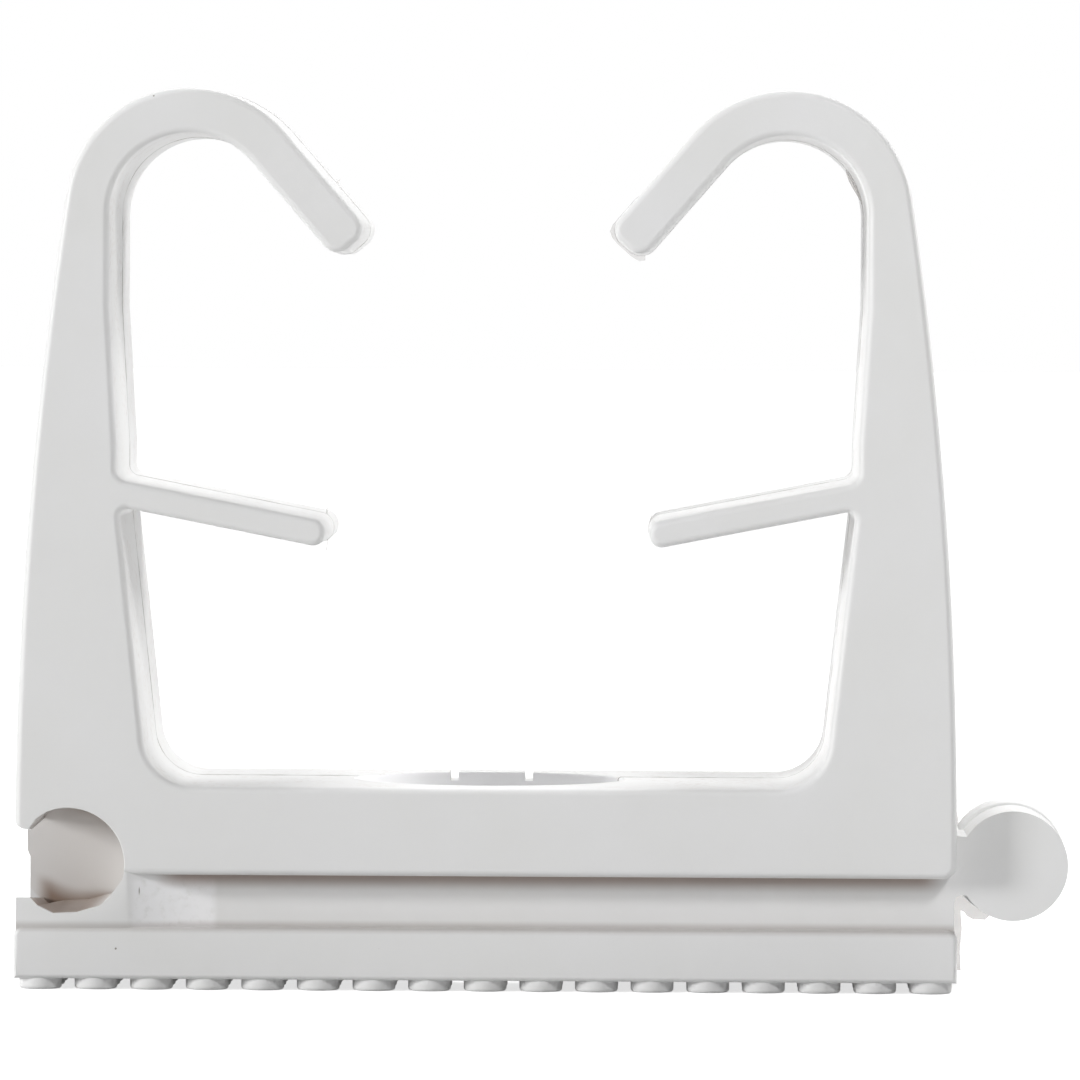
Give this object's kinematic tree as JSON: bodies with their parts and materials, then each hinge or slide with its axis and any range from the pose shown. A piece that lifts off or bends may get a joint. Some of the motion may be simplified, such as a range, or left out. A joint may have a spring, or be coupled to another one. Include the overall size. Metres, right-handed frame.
{
  "type": "conduit clip",
  "caption": "One-piece open-top pipe clip with hooked arms, inner spring fingers, a studded base with a screw recess, and a side socket and disc that link clips in a row.",
  "frame": {"origin": "middle of the overall length and depth, in the plane of the stud tips that meet the wall", "axes": "+X along a row of linked clips, towards the link disc; +Z from the wall towards the open top; the open side of the socket and the disc's flat face look along -Y; pipes run along Y"},
  "size_m": [0.045, 0.016, 0.0383],
  "materials": {
    "white_plastic": "satin moulded, with a fine even texture"
  },
  "bodies": {
    "root": {"clip_body": "white_plastic"}
  },
  "joints": []
}
